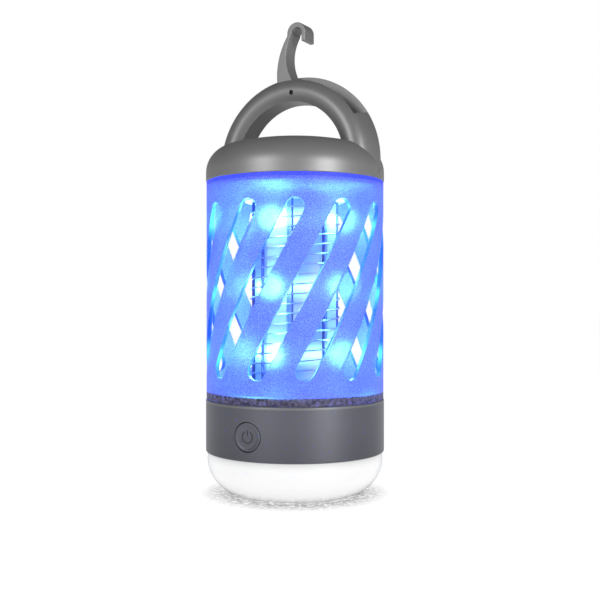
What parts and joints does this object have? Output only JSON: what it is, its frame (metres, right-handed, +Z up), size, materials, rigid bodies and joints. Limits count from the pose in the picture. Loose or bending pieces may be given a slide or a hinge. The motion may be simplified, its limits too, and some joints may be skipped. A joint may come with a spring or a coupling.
{
  "type": "electric bug zapper",
  "caption": "Cylindrical rechargeable bug zapper with a slotted cage, arched handle, folding hook and a lantern in its base.",
  "frame": {"origin": "centre of the flat face it stands on", "axes": "+Z up, -Y towards the power button, X along the handle's span"},
  "size_m": [0.088, 0.088, 0.2313],
  "materials": {
    "satin_grey": "satin metallic-look paint on plastic",
    "hook_grey": "satin",
    "frosted_cage": "frosted translucent",
    "diffuser_white": "frosted white",
    "dark_plastic": "matt",
    "insulator_white": "matt",
    "grid_steel": "drawn wire",
    "screw_steel": "zinc plated",
    "circuit_board": "solder mask",
    "led_white": "led package",
    "ferrite": "sintered",
    "capacitor_red": "dipped epoxy",
    "chip_black": "moulded epoxy",
    "cell_wrap": "shrink wrap",
    "nickel": "plated",
    "port_rubber": "moulded",
    "lead_red": "insulation",
    "lead_black": "insulation"
  },
  "bodies": {
    "base": {"diffuser": "diffuser_white", "lantern_board": "circuit_board", "lantern_leds": "led_white", "lantern_screws": "screw_steel", "base_housing": "satin_grey", "main_board": "circuit_board", "board_screws": "screw_steel", "hv_transformer": "ferrite", "hv_capacitor": "capacitor_red", "control_chips": "chip_black", "tact_switch": "chip_black", "charge_board": "circuit_board", "charge_socket": "nickel", "battery_cell": "cell_wrap", "battery_contacts": "nickel", "battery_cradle": "dark_plastic", "deck": "dark_plastic", "deck_screws": "screw_steel", "grid_lower_holder": "insulator_white", "grid_upper_holder": "insulator_white", "grid_wire_live": "grid_steel", "grid_wire_return": "grid_steel", "hv_lead_live": "lead_red", "hv_lead_return": "lead_black", "light_column": "insulator_white", "uv_leds": "led_white", "grid_post_1": "dark_plastic", "grid_post_2": "dark_plastic", "grid_post_3": "dark_plastic", "grid_post_4": "dark_plastic", "grid_post_5": "dark_plastic", "grid_post_6": "dark_plastic", "grid_post_7": "dark_plastic", "grid_post_8": "dark_plastic", "uv_led_board_1": "circuit_board", "uv_led_board_2": "circuit_board", "uv_led_board_3": "circuit_board", "uv_led_board_4": "circuit_board"},
    "cage_unit": {"cage": "frosted_cage", "top_cap": "satin_grey", "ceiling_plate": "insulator_white", "ceiling_screws": "screw_steel", "handle": "satin_grey", "handle_screws": "screw_steel", "hook_pin": "screw_steel"},
    "hook": {"hook": "hook_grey"},
    "button": {"power_button": "satin_grey"},
    "port_flap": {"port_cover": "port_rubber"}
  },
  "joints": [
    {"name": "cage_lift", "type": "slide", "parent": "base", "child": "cage_unit", "axis": [0, 0, 1], "range_m": [0, 0.105]},
    {"name": "hook_fold", "type": "hinge", "parent": "cage_unit", "child": "hook", "pos_m": [0.00238, 0, 0.19632], "axis": [0, 1, 0], "range_deg": [0, 105]},
    {"name": "button_press", "type": "slide", "parent": "base", "child": "button", "axis": [0, 1, 0], "range_m": [0, 0.0008], "stiffness_N_per_m": 2000},
    {"name": "port_flap_open", "type": "hinge", "parent": "base", "child": "port_flap", "pos_m": [0, 0.04275, 0.02705], "axis": [-1, 0, 0], "range_deg": [0, 90]}
  ]
}
